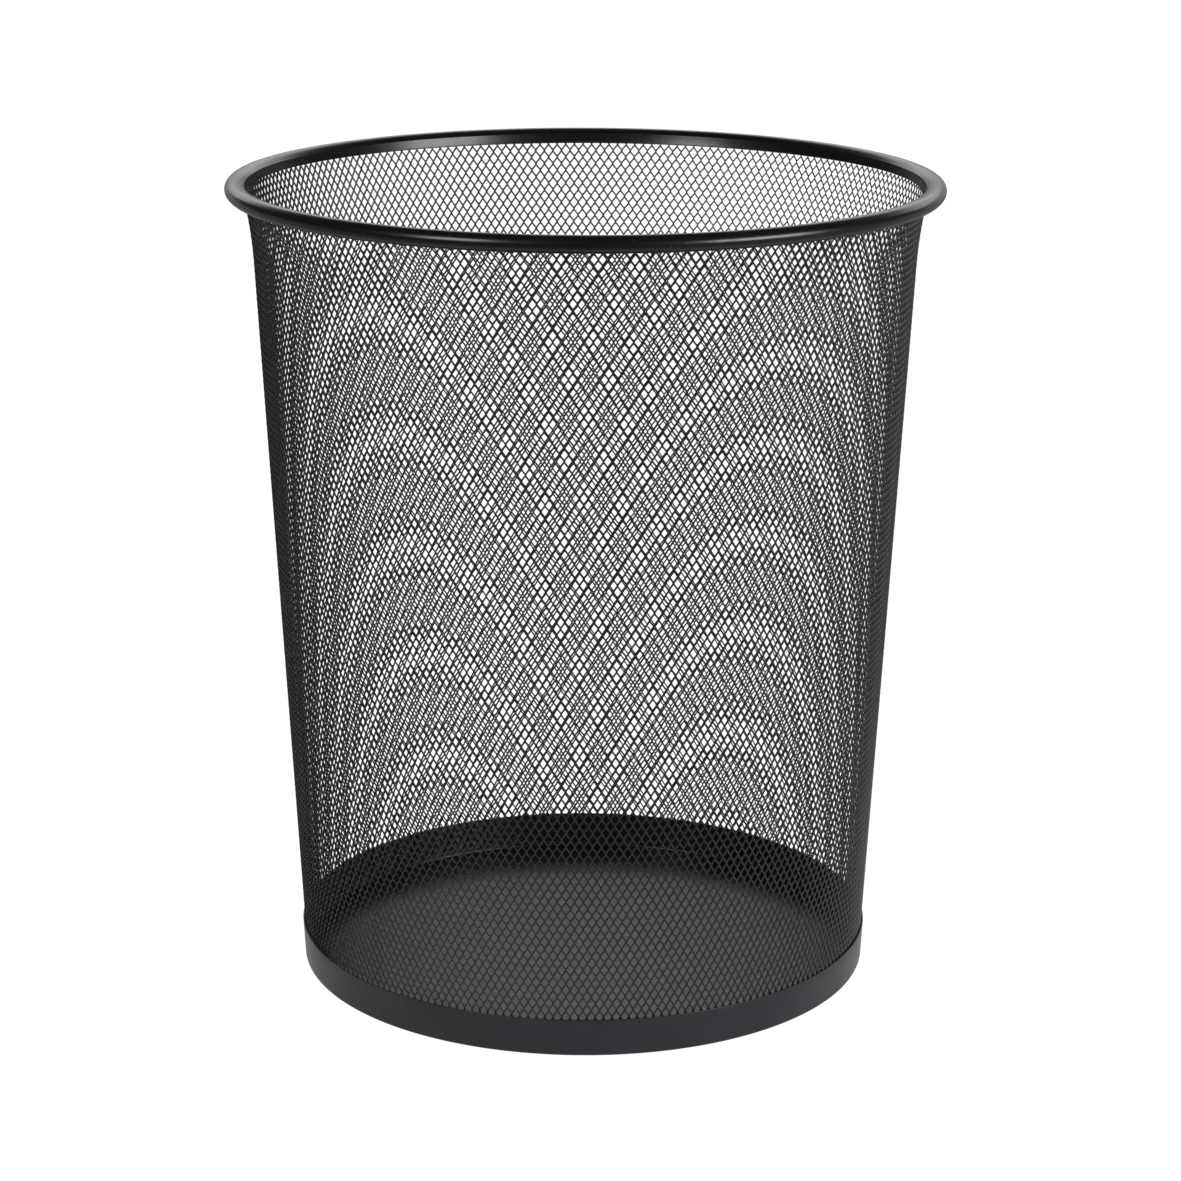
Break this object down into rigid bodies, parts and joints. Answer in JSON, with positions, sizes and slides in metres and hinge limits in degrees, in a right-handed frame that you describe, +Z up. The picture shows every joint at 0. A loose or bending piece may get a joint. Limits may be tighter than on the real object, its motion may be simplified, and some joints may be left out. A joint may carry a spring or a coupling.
{
  "type": "wastebasket",
  "caption": "Round tapered wastebasket of black painted expanded-metal mesh, with a rolled rim and a flat pan base inside a low plain band.",
  "frame": {"origin": "on the surface the basket stands on, at the centre of its base", "axes": "+Z up along the basket's axis; the basket is round, so X and Y are free, with -Y taken as its front"},
  "size_m": [0.3016, 0.3016, 0.345],
  "materials": {
    "base_paint": "satin black powder coat",
    "mesh_paint": "satin black powder coat",
    "rim_paint": "semi-gloss black powder coat"
  },
  "bodies": {
    "root": {"base_pan": "base_paint", "mesh_wall": "mesh_paint", "rim_roll": "rim_paint"}
  },
  "joints": []
}
